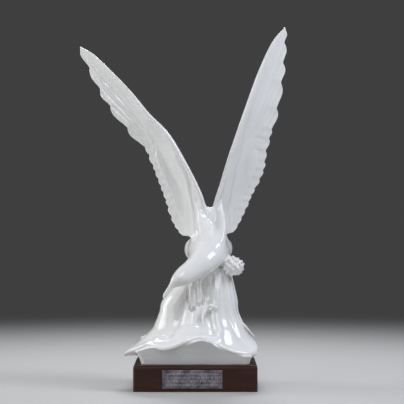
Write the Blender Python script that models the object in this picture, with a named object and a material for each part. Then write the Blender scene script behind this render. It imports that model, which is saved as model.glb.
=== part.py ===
# A glazed porcelain gull with raised wings, alighting on a tall wave, on a wooden plinth
# with an engraved metal plate. Metres, +Z up. The origin is the centre of the plinth's
# underside, and the viewer who sees the plate stands at -Y.

import math

import bmesh
import bpy
import numpy as np
from mathutils import Vector

# Driving sizes, in metres
FIGURE_HEIGHT = 0.460       # porcelain alone, from its foot to the higher wing tip
FOOT_LENGTH = 0.145         # rectangular porcelain foot where it meets the plinth, along X
FOOT_DEPTH = 0.108          # the same along Y
FOOT_LEAN = 0.15            # how far its walls lean outward for each unit of height
FOOT_FLARE = 0.08           # more lean under the rim, in percent for each square percent of height
FOOT_CHAMFER = 0.005        # flattened vertical corners of the foot
PLINTH_MARGIN = 0.0105      # wood that shows round the foot
PLINTH_HEIGHT = 0.035
PLINTH_BEVEL = 0.0035       # all edges but the lowest ones
SEAT_GAP = 0.0003           # between pieces that touch
PLATE_LENGTH = 0.080
PLATE_BORDER = 0.0053       # wood above and below the plate, on average; bare metal at its edges
PLATE_SHIFT = -0.0039       # from the middle of the plinth, along X
PLATE_DROP = 0.0008         # below the middle of the plinth's front
PLATE_THICKNESS = 0.0012
PLATE_BEVEL = 0.0003
ENGRAVED_ROWS = 4
STROKES_PER_ROW = 15
STROKE_DEPTH = 0.0003
STROKE_MARGIN = 0.006       # bare metal at the ends of the rows
STROKE_INDENT = 0.15        # start of a stroke in its cell, as a share of the cell
# width and height of the strokes, as shares of a cell and of a row
STROKE_SHAPES = [(0.22, 0.50), (0.66, 0.18), (0.22, 0.34), (0.45, 0.24)]
PIN_HEAD_DIAMETER = 0.0022
PIN_HEAD_HEIGHT = 0.0007
PIN_SHANK_DIAMETER = 0.0010
PIN_INSET = 0.0024          # from the plate's end to the pin's axis
PIN_DEPTH = 0.007           # shank in the wood
ROUND_STEPS = 16            # sides of the pins and their holes

# Sizes and places that follow from these
PLINTH_LENGTH = FOOT_LENGTH + 2 * PLINTH_MARGIN
PLINTH_DEPTH = FOOT_DEPTH + 2 * PLINTH_MARGIN
PLATE_HEIGHT = PLINTH_HEIGHT - 2 * PLATE_BORDER
PLATE_Z = PLINTH_HEIGHT / 2 - PLATE_DROP
PLATE_BACK = -PLINTH_DEPTH / 2 - SEAT_GAP
PLATE_FRONT = PLATE_BACK - PLATE_THICKNESS
PIN_X = [PLATE_SHIFT + side * (PLATE_LENGTH / 2 - PIN_INSET) for side in (-1, 1)]

# The clay model is worked in percent of the figure's height, from the middle of its foot.
# x is to the viewer's right, y away from the viewer, z up.
PERCENT = FIGURE_HEIGHT / 100.0
GRAIN = 0.32 * PERCENT      # cell of the mesh that joins the modelled forms into one body
SOFTENING = 5               # passes that soften the joints between the forms
KEPT_SHARE = 0.0354         # share of those cells' faces left after flat areas are thinned

# Each wing runs from root to tip; leading is the smooth edge, trailing the feathered one, and
# ends_at holds the heights where one feather's end meets the next.
LEFT_WING = {
    "leading": [(3.6, 0.5, 35.0), (3.4, -0.9, 44.3), (0.8, -1.7, 51.8), (-4.8, -2.2, 62.5),
                (-8.5, -1.8, 68.2), (-13.8, -0.9, 73.6), (-19.1, 0.9, 80.1), (-25.0, 3.0, 86.3),
                (-30.7, 5.7, 91.7), (-35.0, 7.4, 94.4)],
    "trailing": [(-4.0, 6.5, 37.2), (-6.5, 6.5, 41.0), (-8.9, 5.7, 48.2), (-12.5, 4.3, 57.9),
                 (-14.9, 4.1, 63.4), (-19.8, 3.9, 68.8), (-25.5, 4.6, 76.0), (-29.0, 5.7, 81.9),
                 (-32.6, 7.0, 89.1), (-35.0, 7.4, 94.4)],
    "ends_at": [37.2, 38.6, 40.3, 42.6, 45.7, 47.8, 49.9, 51.9, 54.0, 56.3, 58.1, 61.2, 63.5,
                69.4, 76.0, 81.2, 87.6, 94.4],
    "wrist": 0.45,          # share of the span where the long feathers start
}
RIGHT_WING = {
    "leading": [(4.4, 0.5, 35.0), (5.0, 0.0, 44.3), (7.4, -0.4, 52.4), (9.4, -0.3, 59.4),
                (11.6, 0.0, 66.0), (15.1, 1.3, 76.2), (18.9, 3.9, 86.6), (23.1, 6.5, 95.5),
                (27.1, 8.3, 100.3)],
    "trailing": [(11.3, 7.8, 38.1), (13.6, 8.3, 42.2), (16.7, 8.3, 49.1), (20.3, 8.0, 56.8),
                 (21.2, 7.4, 63.0), (23.9, 7.0, 73.0), (25.8, 7.4, 83.6), (26.7, 8.3, 93.4),
                 (27.1, 8.3, 100.3)],
    "ends_at": [38.1, 40.2, 42.5, 44.8, 47.3, 49.2, 51.3, 54.2, 56.8, 59.3, 62.6, 66.4, 69.1,
                75.4, 83.2, 89.3, 95.4, 100.3],
    "wrist": 0.53,
}
ARM_THICKNESS = 2.3         # wing beside its leading edge, near the body
BLADE_THICKNESS = 0.95      # wing along its feathered edge
CAMBER = 0.10               # hollow of the underside, as a share of the wing's width
FEATHER_RELIEF = 0.16       # height of a feather's edge over the next one
END_RISE = 0.19             # how far a feather's end stands out, as a share of its width
END_LIMIT = 1.05            # and at most

# Spine of the bird: centre x, y, z, half width, half height
BODY = [
    (3.9, 15.0, 33.6, 3.4, 2.0),
    (3.9, 9.5, 33.4, 5.6, 3.9),
    (3.9, 3.5, 33.1, 6.3, 5.1),
    (3.8, -2.5, 32.6, 6.2, 5.1),
    (3.1, -6.9, 31.2, 5.4, 4.4),
    (1.6, -10.0, 29.4, 4.4, 3.9),
    (-0.6, -12.7, 27.7, 3.3, 3.2),
    (-3.4, -15.0, 25.8, 2.8, 2.75),
    (-5.3, -16.2, 24.5, 2.1, 1.95),
    (-6.4, -16.8, 23.5, 1.2, 1.15),
    (-7.1, -17.1, 22.7, 0.78, 0.8),
    (-8.0, -17.3, 21.5, 0.62, 0.68),
    (-8.8, -17.5, 20.3, 0.46, 0.56),
    (-9.15, -17.4, 19.5, 0.15, 0.2),
]
# Slope from the ridge between the wings to the neck, listed as the spine is
SADDLE = [
    (4.6, 0.5, 43.0, 1.2, 0.9),
    (4.7, 0.2, 41.0, 2.4, 1.4),
    (4.8, -0.7, 38.6, 3.4, 2.1),
    (4.6, -2.6, 36.2, 4.5, 2.9),
    (3.9, -4.7, 34.0, 5.3, 3.6),
    (3.1, -6.8, 31.9, 5.0, 4.0),
    (2.2, -8.6, 30.2, 3.4, 3.0),
]
# Arms of the wings, running down over the breast
ARMS = [
    [(0.9, 0.5, 48.5, 0.4, 0.4), (1.3, 0.1, 45.2, 1.0, 1.0), (1.55, -0.9, 43.2, 1.4, 1.4),
     (1.9, -2.2, 41.0, 1.7, 1.8), (2.5, -3.9, 38.4, 1.9, 1.9), (2.9, -5.9, 35.6, 2.1, 2.1),
     (2.8, -7.8, 33.2, 1.6, 1.8)],
    [(7.4, 1.5, 48.5, 0.4, 0.4), (7.4, 1.0, 45.2, 0.9, 1.0), (7.7, 0.0, 43.0, 1.3, 1.3),
     (7.9, -1.5, 40.8, 1.5, 1.6), (7.8, -3.4, 38.2, 1.7, 1.8), (7.1, -5.2, 35.6, 1.9, 2.0),
     (6.0, -7.0, 33.2, 1.6, 1.8)],
]
# Rounded flanks under the wings
FLANKS = [
    [(0.6, -3.0, 32.6, 0.9, 1.4), (-0.4, 0.5, 32.8, 2.1, 2.8), (-0.9, 5.0, 33.0, 2.5, 3.3),
     (-0.4, 10.0, 33.2, 2.1, 2.7), (0.6, 14.0, 33.4, 0.9, 1.1)],
    [(7.4, -3.0, 33.0, 0.9, 1.4), (8.3, 0.5, 33.2, 2.1, 2.8), (8.75, 5.0, 33.3, 2.4, 3.2),
     (8.2, 10.0, 33.4, 2.1, 2.7), (7.2, 14.0, 33.5, 0.9, 1.1)],
]
# Breast and the ridge where the two wings meet, from below: x, y, z, half width, half depth
BREAST = [
    (3.9, 0.4, 32.5, 6.3, 4.8),
    (4.3, 0.4, 36.0, 5.6, 3.9),
    (4.6, 0.6, 38.6, 4.2, 2.6),
    (4.6, 0.6, 41.0, 2.9, 1.9),
    (4.4, 0.5, 43.2, 1.9, 1.6),
    (4.15, 0.4, 44.7, 1.2, 1.3),
    (4.05, 0.3, 45.6, 0.75, 0.9),
    (4.05, 0.3, 46.0, 0.2, 0.3),
]
TAIL = {"root": (3.9, 5.0, 34.6), "tip": (3.9, 23.0, 33.4), "root_half": 5.4, "tip_half": 6.9,
        "droop": 2.2, "thickness": 1.5, "feathers": 9, "relief": 0.16}

# Wave, from under the bird down to its spreading rim:
# height, centre x, centre y, half width, half depth
WAVE = [
    (29.5, 5.2, 1.0, 3.6, 5.5),
    (27.0, 5.0, 0.6, 5.3, 7.0),
    (22.6, 2.8, 0.2, 8.4, 8.6),
    (18.1, 1.4, 0.0, 10.8, 9.4),
    (14.8, 1.1, 0.0, 11.4, 10.2),
    (11.6, 1.2, 0.0, 12.7, 11.4),
    (8.9, 1.0, 0.0, 14.3, 13.2),
]
RIM = {"height": 4.45, "centre": (-1.1, 0.0), "half_width": 19.5, "half_depth": 15.4, "lip": 1.05}
# Outline of the rim from above: roundness of its corners, and the height of its five lobes
RIM_SQUARENESS = 3
RIM_LOBES = 0.035
# Right end of the rim, rolled up thick: angle and width in degrees, height in percent
RIM_ROLL = {"angle": 82, "width": 22, "height": 2.1}
# Swells of the rim seen from above, 0 degrees at the viewer: angle, width, rise
SWELLS = [(7, 21, 3.8), (-39, 11, 1.5), (60, 34, -1.5), (-86, 22, -2.1), (132, 18, 1.0),
          (158, 22, 1.2), (190, 24, -1.2), (217, 16, 1.0)]
# Streams of falling water: angle at the top, angle at the bottom, width, height of relief
STREAMS = [(-62, -66, 20, 0.9), (-20, -34, 8, -1.1), (8, 2, 13, -1.6), (18, 17, 4, -0.9),
           (25, 24, 5, 0.9), (40, 52, 5, -0.6), (66, 62, 16, 0.3), (112, 108, 7, -1.0),
           (128, 134, 14, 0.9), (156, 158, 7, -1.1), (185, 182, 14, 0.9), (212, 208, 7, -1.1),
           (240, 236, 13, 0.8), (266, 262, 7, -0.9)]

# Webbed feet: hip, ankle, tip of the toes, half width of the spread toes
FEET = [((0.0, -9.0, 27.5), (-0.75, -9.8, 23.3), (-1.1, -10.2, 16.2), 1.05),
        ((1.3, -8.4, 27.5), (1.15, -9.2, 23.1), (1.2, -9.0, 17.5), 0.62)]
LEG_RADIUS = 0.46

# Foam: centre, size of the cluster, radius of a bead, number of beads
FOAM = [((10.9, -4.6, 28.3), (2.9, 2.5, 2.5), 0.72, 26),
        ((2.9, -8.6, 27.0), (2.5, 0.9, 0.7), 0.42, 8),
        ((5.0, -10.0, 16.4), (1.3, 0.7, 0.6), 0.45, 7)]
FOAM_CURL = [(2.4, -10.2, 13.8, 0.25, 0.25), (3.3, -10.3, 15.8, 0.38, 0.38), (4.2, -10.4, 17.1, 0.45, 0.42),
             (5.3, -10.3, 16.9, 0.42, 0.42), (6.3, -10.1, 15.4, 0.32, 0.32)]
# Small tongues of water on the shoulders of the rim: root, tip, half width, thickness
TONGUES = [((-10.5, -1.0, 7.6), (-16.3, -1.8, 6.8), 3.2, 2.2),
           ((12.6, -1.0, 12.3), (17.7, -1.2, 7.0), 2.8, 1.6),
           ((-5.0, 9.5, 8.8), (-8.0, 14.4, 7.0), 3.2, 2.0)]


def share(value, low, high):
    """0 below low, 1 above high, smooth between."""
    x = np.clip((value - low) / (high - low), 0.0, 1.0)
    return x * x * (3.0 - 2.0 * x)


def through(points, steps):
    """Even steps along a smooth curve through the points (columns are read one by one)."""
    knots = np.array(points, dtype=float)
    padded = np.vstack([2 * knots[0] - knots[1], knots, 2 * knots[-1] - knots[-2]])
    at = np.clip(steps, 0.0, 1.0) * (len(knots) - 1)
    piece = np.minimum(at.astype(int), len(knots) - 2)
    u = (at - piece)[:, None]
    a, b, c, d = (padded[piece + k] for k in range(4))
    return 0.5 * (2 * b + (c - a) * u + (2 * a - 5 * b + 4 * c - d) * u ** 2
                  + (3 * b - a - 3 * c + d) * u ** 3)


def new_object(name, build, material=None):
    """One object from a bmesh that the build function fills."""
    mesh = bpy.data.meshes.new(name)
    bm = bmesh.new()
    build(bm)
    bm.to_mesh(mesh)
    bm.free()
    item = bpy.data.objects.new(name, mesh)
    bpy.context.collection.objects.link(item)
    if material:
        mesh.materials.append(material)
    return item


def loft(bm, rings):
    """Skin closed rings of equal length, and close both ends."""
    rows = [[bm.verts.new(Vector(p) * PERCENT) for p in ring] for ring in rings]
    for lower, upper in zip(rows, rows[1:]):
        for k in range(len(lower)):
            n = (k + 1) % len(lower)
            bm.faces.new((lower[k], lower[n], upper[n], upper[k]))
    for row in (rows[0], rows[-1]):
        middle = bm.verts.new(sum((v.co for v in row), Vector()) / len(row))
        for k in range(len(row)):
            bm.faces.new((row[k], row[(k + 1) % len(row)], middle))


def lobe(place):
    """Outline of a feather's end: place runs 0 to 1 along one feather, towards the wing's tip."""
    return np.sin(math.pi * place ** 1.8) ** 0.8


def feather_count(side, span):
    """Running number of the feather that ends at this share of the span."""
    heights = through(side["trailing"], np.ravel(span))[:, 2]
    return np.interp(heights, side["ends_at"], np.arange(len(side["ends_at"]))).reshape(np.shape(span))


def wing(bm, side, span_steps=150, chord_steps=24):
    span = np.linspace(0, 1, span_steps)
    leading = through(side["leading"], span)
    trailing = through(side["trailing"], span)
    width = np.linalg.norm(trailing - leading, axis=1)
    outward = (trailing - leading) / np.maximum(width, 1e-6)[:, None]
    outward[-1] = outward[-2]

    number = feather_count(side, span)
    gaps = np.diff(side["ends_at"])
    size = np.minimum(END_RISE * gaps[np.minimum(number.astype(int), len(gaps) - 1)], END_LIMIT)
    size = size * share(1 - span, 0.0, 0.04)
    trailing = trailing + outward * (size * lobe(number % 1.0))[:, None]

    along = np.gradient((leading + trailing) / 2, axis=0)
    front = np.cross(along, outward)
    front /= np.linalg.norm(front, axis=1)[:, None]
    front *= -np.sign(front[:, 1:2])

    chord = (1 - np.cos(np.linspace(0, math.pi, chord_steps))) / 2
    s, t = np.meshgrid(span, chord, indexing="ij")
    flat = leading[:, None] + (trailing - leading)[:, None] * t[..., None]

    # long feathers fan out from the wrist, short ones lean to the tip
    bend = side["wrist"]
    wrist = 0.7 * through(side["leading"], np.array([bend]))[0]
    wrist = wrist + 0.3 * through(side["trailing"], np.array([bend]))[0]
    turn = np.arctan2(*(trailing - wrist)[:, [0, 2]].T)
    hand = np.sign(turn[-1] - turn[span_steps // 2]) or 1.0
    outer = span >= bend
    spread = np.maximum.accumulate(turn[outer] * hand)
    place = np.arctan2(flat[..., 0] - wrist[0], flat[..., 2] - wrist[2]) * hand
    fan = np.interp(place, spread, span[outer])
    ends_at = s + (fan - s) * share(s, bend - 0.02, bend + 0.12)
    ends_at = np.where(s < bend, np.minimum(s + 0.045 * (1 - t), 1), ends_at)
    along_feather = feather_count(side, ends_at) % 1.0
    rib = np.sin(math.pi * along_feather) ** 0.7 * 0.6 + along_feather * 0.4

    arm = 0.42 - 0.22 * share(s, 0.0, 0.45)
    coverts = 0.80 - 0.45 * share(s, bend - 0.12, bend + 0.12)
    in_feathers = share(t, coverts - 0.03, coverts + 0.03) * share(1 - s, 0.0, 0.05)
    relief = FEATHER_RELIEF * in_feathers * (rib - 0.5)
    relief = relief + 0.28 * (1 - share(t, coverts - 0.03, coverts + 0.02)) * share(1 - s, 0.3, 0.6)
    inner = share(1 - s, 0.35, 0.65)
    crease = np.exp(-((t - arm) / 0.035) ** 2)
    ridge = np.exp(-((t - arm + 0.08) / 0.05) ** 2)
    hollow_arm = np.exp(-((t - arm * 0.45) / (arm * 0.28)) ** 2) * share(1 - s, 0.6, 0.85)
    relief = relief + inner * (0.35 * ridge - 0.5 * crease - 0.7 * hollow_arm)

    thick = BLADE_THICKNESS + (ARM_THICKNESS * (1 - 0.65 * s) - BLADE_THICKNESS) * (
        1 - share(t, arm * 0.6, arm * 1.3))
    thick = thick * (1 - 0.25 * share(s, 0.7, 1.0))
    rounding = np.sqrt(np.clip(1 - (1 - np.minimum(t / 0.10, 1)) ** 2, 0, 1))
    rounding = rounding * np.sqrt(np.clip(1 - (np.maximum(t - 0.97, 0) / 0.03) ** 2, 0, 1))
    half = thick / 2 * rounding
    hollow = CAMBER * width[:, None] * 4 * t * (1 - t) * share(1 - s, 0.0, 0.3)

    normal = front[:, None]
    middle = flat - normal * hollow[..., None]
    under = middle + normal * (half + relief * rounding)[..., None]
    upper_relief = FEATHER_RELIEF * (rib - 0.5) * share(t, 0.3, 0.42) * share(1 - s, 0.0, 0.05)
    upper = middle - normal * (half + upper_relief * rounding)[..., None]
    rings = [np.vstack([under[k], upper[k][::-1]]) for k in range(span_steps)]
    loft(bm, rings)


def spindle(bm, table, around=32, steps=60):
    """A rounded form along a spine of centres, half widths and half heights."""
    spine = through(table, np.linspace(0, 1, steps))
    along = np.gradient(spine[:, :3], axis=0)
    rings = []
    for row, direction in zip(spine, along):
        ahead = Vector(direction).normalized()
        side = ahead.cross(Vector((0, 0, 1))).normalized()
        over = side.cross(ahead)
        wide, tall = max(row[3], 0.05), max(row[4], 0.05)
        angles = np.linspace(0, 2 * math.pi, around, endpoint=False)
        rings.append([Vector(row[:3]) + side * (wide * math.cos(a)) + over * (tall * math.sin(a))
                      for a in angles])
    loft(bm, rings)


def tail(bm, steps=26, across=45):
    root, tip = Vector(TAIL["root"]), Vector(TAIL["tip"])
    rings = []
    for k in range(steps):
        u = k / (steps - 1)
        half = TAIL["root_half"] + (TAIL["tip_half"] - TAIL["root_half"]) * math.sin(u * math.pi / 2)
        under, upper = [], []
        for j in range(across):
            w = -1 + 2 * j / (across - 1)
            feather = (w + 1) / 2 * TAIL["feathers"]
            rib = abs(math.sin(math.pi * feather))
            reach = 1 - 0.16 * w * w - 0.07 * (1 - rib) * u
            bend = w * math.pi / 2
            arch = Vector((half * math.sin(bend), 0, TAIL["droop"] * (math.cos(bend) - 1)))
            out = Vector((math.sin(bend), 0, math.cos(bend)))
            edge = math.sqrt(max(1 - abs(w) ** 6, 0.0)) * (1 - 0.5 * u ** 4)
            lift = TAIL["thickness"] / 2 * edge + TAIL["relief"] * rib * edge * min(3 * u, 1)
            point = root.lerp(tip, u * reach) + arch
            upper.append(point + out * lift)
            under.append(point - out * lift)
        rings.append(upper + under[::-1])
    loft(bm, rings)


def at_angle(angles, centre, width):
    """A soft bump over the compass of the wave, 1 at its centre; degrees."""
    apart = (angles - centre + 180) % 360 - 180
    return np.exp(-(apart / width) ** 2)


def wave(bm, around=160, steps=46):
    angles = np.linspace(0, 360, around, endpoint=False)
    right, ahead = np.sin(np.radians(angles)), -np.cos(np.radians(angles))
    square = (np.abs(right) ** RIM_SQUARENESS + np.abs(ahead) ** RIM_SQUARENESS) ** (-1 / RIM_SQUARENESS)
    rise = sum(up * at_angle(angles, a, w) for a, w, up in SWELLS)
    lobes = 1 + RIM_LOBES * np.cos(np.radians(5 * angles + 40))
    spread = [(*row, 0.0) for row in WAVE]
    spread.append((RIM["height"] + 0.4, *RIM["centre"], RIM["half_width"] * 0.97,
                   RIM["half_depth"] * 0.97, 1.0))
    rows = through(spread, np.linspace(0, 1, steps))
    roll = RIM_ROLL["height"] * at_angle(angles, RIM_ROLL["angle"], RIM_ROLL["width"])
    rings = []
    for high, cx, cy, half_x, half_y, out in rows:
        fall = np.clip((WAVE[0][0] - high) / (WAVE[0][0] - RIM["height"]), 0, 1)
        folds = sum(size * at_angle(angles, top + (low - top) * fall, width * (1.25 - 0.45 * fall))
                    for top, low, width, size in STREAMS)
        strength = share(fall, 0.04, 0.3) * (1 - 0.75 * share(fall, 0.72, 1.0))
        shape = 1 + (square * lobes - 1) * max(out, 0) ** 1.5
        x = cx + right * (half_x * shape + folds * strength)
        y = cy + ahead * (half_y * shape + folds * strength)
        z = high + (rise + roll) * max(out, 0) ** 1.3
        rings.append(np.column_stack([x, y, z]))
    edge_x, edge_y = RIM["half_width"] * square * lobes, RIM["half_depth"] * square * lobes
    under = RIM["height"] + rise
    for out, down in ((0.985, 0.0), (1.0, 0.5), (0.985, 1.0), (0.94, 0.95)):
        inward = 1 - (1 - out) * (1 + 0.8 * roll)
        rings.append(np.column_stack([RIM["centre"][0] + right * edge_x * inward,
                                      RIM["centre"][1] + ahead * edge_y * inward,
                                      under + roll * (1 - down) - RIM["lip"] * (down - 0.2)]))
    below = 2 * GRAIN / PERCENT
    for level in np.linspace(1, 0, 7):
        high = (under - 0.6 * RIM["lip"] + below) * level - below
        reach = foot_reach(right, ahead, high)
        rings.append(np.column_stack([right * reach, ahead * reach, high]))
    loft(bm, rings)


def foot_reach(right, ahead, high):
    """Distance from the middle to the wall of the foot at these heights, in percent."""
    lean = FOOT_LEAN * high + FOOT_FLARE * np.maximum(high, 0) ** 2
    long = FOOT_LENGTH / 2 / PERCENT + lean
    deep = FOOT_DEPTH / 2 / PERCENT + lean
    corner = long + deep - FOOT_CHAMFER / PERCENT
    right, ahead = np.abs(right), np.abs(ahead)
    return 1 / np.maximum.reduce([right / long, ahead / deep, (right + ahead) / corner])


def breast(bm, around=32, steps=24):
    turn = np.linspace(0, 2 * math.pi, around, endpoint=False)
    rings = [np.column_stack([x + wide * np.cos(turn), y + deep * np.sin(turn), 0 * turn + z])
             for x, y, z, wide, deep in through(BREAST, np.linspace(0, 1, steps))]
    loft(bm, rings)


def leg(bm, hip, ankle, toes, spread, around=14):
    """A thin leg that opens into a webbed foot hanging down."""
    hip, ankle, toes = Vector(hip), Vector(ankle), Vector(toes)
    r = LEG_RADIUS
    stations = [(hip, 1.9 * r, 1.9 * r), (hip.lerp(ankle, 0.5), r, r), (ankle, 1.2 * r, 1.2 * r),
                (ankle.lerp(toes, 0.2), 0.9 * spread, r), (ankle.lerp(toes, 0.75), spread, 0.8 * r),
                (toes, 0.45 * spread, 0.5 * r)]
    table = through([(*p, w, d) for p, w, d in stations], np.linspace(0, 1, 24))
    rings = []
    for x, y, z, wide, deep in table:
        turn = np.linspace(0, 2 * math.pi, around, endpoint=False)
        ribs = 1 + 0.25 * np.cos(3 * turn) * (wide > 1.3 * LEG_RADIUS)
        rings.append(np.column_stack([x + wide * np.cos(turn), y + deep * ribs * np.sin(turn), 0 * turn + z]))
    loft(bm, rings)


def bead(bm, centre, radius):
    made = bmesh.ops.create_icosphere(bm, subdivisions=2, radius=radius * PERCENT)
    bmesh.ops.translate(bm, verts=made["verts"], vec=Vector(centre) * PERCENT)


def foam(bm, centre, size, radius, count):
    """Beads spread evenly over a rounded heap, round a solid heart."""
    turn = math.pi * (3 - math.sqrt(5))
    for k in range(count):
        high = 1 - 2 * (k + 0.5) / count
        flat = math.sqrt(1 - high * high)
        where = [centre[0] + size[0] * flat * math.cos(turn * k),
                 centre[1] + size[1] * flat * math.sin(turn * k), centre[2] + size[2] * high]
        bead(bm, where, radius * (0.8 + 0.4 * ((k * 7) % 5) / 4))
    heart = bmesh.ops.create_icosphere(bm, subdivisions=2, radius=1.0)["verts"]
    for vert in heart:
        vert.co = Vector([(centre[k] + size[k] * 1.02 * vert.co[k]) * PERCENT for k in range(3)])


def tongue(bm, root, tip, half, thick, around=16, steps=14):
    """A leaf-shaped lip of water that runs out to a rounded point."""
    root, tip = Vector(root), Vector(tip)
    rings = []
    for k in range(steps):
        u = k / (steps - 1)
        wide = half * math.sqrt(max(1 - u ** 2.2, 0.0)) + 0.15
        high = thick / 2 * (1 - 0.6 * u)
        point = root.lerp(tip, u) + Vector((0, 0, 0.35 * math.sin(math.pi * u)))
        turn = np.linspace(0, 2 * math.pi, around, endpoint=False)
        rings.append([point + Vector((0, wide * math.cos(a), high * math.sin(a))) for a in turn])
    loft(bm, rings)


def clay(bm):
    """Every modelled form, overlapping where they grow into one another."""
    wave(bm)
    for table in (BODY, SADDLE, *ARMS, *FLANKS, FOAM_CURL):
        spindle(bm, table)
    breast(bm)
    tail(bm)
    wing(bm, LEFT_WING)
    wing(bm, RIGHT_WING)
    for hip, ankle, toes, spread in FEET:
        leg(bm, hip, ankle, toes, spread)
    for heap in FOAM:
        foam(bm, *heap)
    for lip in TONGUES:
        tongue(bm, *lip)
    bmesh.ops.recalc_face_normals(bm, faces=bm.faces)


def porcelain_gull(material):
    figure = new_object("porcelain_gull_on_wave", clay, material)
    figure.location.z = PLINTH_HEIGHT + SEAT_GAP
    join = figure.modifiers.new("join the forms", "REMESH")
    join.mode = "VOXEL"
    join.voxel_size = GRAIN
    join.use_smooth_shade = True
    soften = figure.modifiers.new("soften the joints", "SMOOTH")
    soften.factor = 0.5
    soften.iterations = SOFTENING
    thin_out = figure.modifiers.new("thin out flat areas", "DECIMATE")
    thin_out.ratio = KEPT_SHARE
    below = new_object("below_the_foot", lambda bm: bmesh.ops.create_cube(bm, size=FIGURE_HEIGHT))
    below.location.z = PLINTH_HEIGHT + SEAT_GAP - FIGURE_HEIGHT / 2
    below.hide_render = True
    below.display_type = "WIRE"
    trim = figure.modifiers.new("flat underside", "BOOLEAN")
    trim.operation = "DIFFERENCE"
    trim.object = below
    return figure


def plain_material(name, colour, roughness, metallic=0.0):
    material = bpy.data.materials.new(name)
    material.use_nodes = True
    shader = material.node_tree.nodes["Principled BSDF"]
    shader.inputs["Base Color"].default_value = (*colour, 1.0)
    shader.inputs["Roughness"].default_value = roughness
    shader.inputs["Metallic"].default_value = metallic
    return material


def block(bm, low, high):
    made = bmesh.ops.create_cube(bm, size=1.0)["verts"]
    for vert in made:
        vert.co = Vector([a + (b - a) * (c + 0.5) for a, b, c in zip(low, high, vert.co)])
    return made


def rod(bm, radius, start, end, x, z):
    """A round rod along Y between two depths."""
    made = bmesh.ops.create_cone(bm, segments=ROUND_STEPS, radius1=radius, radius2=radius,
                                 depth=abs(end - start), cap_ends=True)["verts"]
    for vert in made:
        across, up, deep = vert.co
        vert.co = Vector((x + across, (start + end) / 2 - deep, z + up))


def cut(target, name, build):
    """Take the shape that build makes away from the target."""
    cutter = new_object(name, build)
    cutter.hide_render = True
    cutter.display_type = "WIRE"
    away = target.modifiers.new(name, "BOOLEAN")
    away.operation = "DIFFERENCE"
    away.object = cutter


def pin_holes(bm):
    """Holes for both pins, through the plate and into the wood."""
    for x in PIN_X:
        rod(bm, PIN_SHANK_DIAMETER / 2 + SEAT_GAP, PLATE_FRONT - PLATE_THICKNESS,
            PLATE_BACK + PIN_DEPTH + 2 * SEAT_GAP, x, PLATE_Z)


def wooden_plinth(material):
    def build(bm):
        block(bm, (-PLINTH_LENGTH / 2, -PLINTH_DEPTH / 2, 0),
              (PLINTH_LENGTH / 2, PLINTH_DEPTH / 2, PLINTH_HEIGHT))
        edges = [e for e in bm.edges if max(v.co.z for v in e.verts) > PLINTH_HEIGHT / 2]
        bmesh.ops.bevel(bm, geom=edges, offset=PLINTH_BEVEL, segments=3, profile=0.5, affect="EDGES")

    plinth = new_object("wooden_plinth", build, material)
    cut(plinth, "pin_holes_in_the_wood", pin_holes)


def strokes(bm):
    """Rows of short upright and level strokes, in no alphabet."""
    room = PLATE_HEIGHT - PLATE_BORDER
    pitch = room / ENGRAVED_ROWS
    cell = (PLATE_LENGTH - 2 * STROKE_MARGIN) / STROKES_PER_ROW
    for row in range(ENGRAVED_ROWS):
        middle = PLATE_Z + room / 2 - pitch * (row + 0.5)
        for k in range(STROKES_PER_ROW):
            left = PLATE_SHIFT - PLATE_LENGTH / 2 + STROKE_MARGIN + cell * k
            kind = (3 * k + 5 * row) % len(STROKE_SHAPES)
            wide, tall = STROKE_SHAPES[kind]
            start = left + cell * STROKE_INDENT
            low = (start, PLATE_FRONT - STROKE_DEPTH, middle - pitch * tall / 2)
            high = (start + cell * wide, PLATE_FRONT + STROKE_DEPTH, middle + pitch * tall / 2)
            block(bm, low, high)


def engraved_plate(material):
    def build(bm):
        block(bm, (PLATE_SHIFT - PLATE_LENGTH / 2, PLATE_FRONT, PLATE_Z - PLATE_HEIGHT / 2),
            (PLATE_SHIFT + PLATE_LENGTH / 2, PLATE_BACK, PLATE_Z + PLATE_HEIGHT / 2))
        rim = [e for e in bm.edges if all(v.co.y < PLATE_BACK - PLATE_THICKNESS / 2 for v in e.verts)]
        bmesh.ops.bevel(bm, geom=rim, offset=PLATE_BEVEL, segments=1, profile=0.5, affect="EDGES")

    plate = new_object("engraved_plate", build, material)
    cut(plate, "engraved_strokes", strokes)
    cut(plate, "pin_holes_in_the_plate", pin_holes)


def plate_pin(name, x, material):
    """A turned pin: domed head on the plate, shank through it into the wood."""
    head, shank = PIN_HEAD_DIAMETER / 2, PIN_SHANK_DIAMETER / 2
    face = PLATE_FRONT - SEAT_GAP
    profile = [(0, face - PIN_HEAD_HEIGHT), (0.55 * head, face - 0.85 * PIN_HEAD_HEIGHT),
               (0.9 * head, face - 0.45 * PIN_HEAD_HEIGHT), (head, face), (shank, face),
               (shank, PLATE_BACK + PIN_DEPTH), (0, PLATE_BACK + PIN_DEPTH)]

    def build(bm):
        line = [bm.verts.new((x + radius, depth, PLATE_Z)) for radius, depth in profile]
        edges = [bm.edges.new(pair) for pair in zip(line, line[1:])]
        bmesh.ops.spin(bm, geom=line + edges, cent=(x, 0, PLATE_Z), axis=(0, 1, 0),
                       angle=2 * math.pi, steps=ROUND_STEPS, use_merge=True)
        bmesh.ops.remove_doubles(bm, verts=bm.verts, dist=1e-6)
        bmesh.ops.recalc_face_normals(bm, faces=bm.faces)

    pin = new_object(name, build, material)
    pin.data.shade_smooth()
    pin.data.set_sharp_from_angle(angle=math.radians(40))


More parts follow.
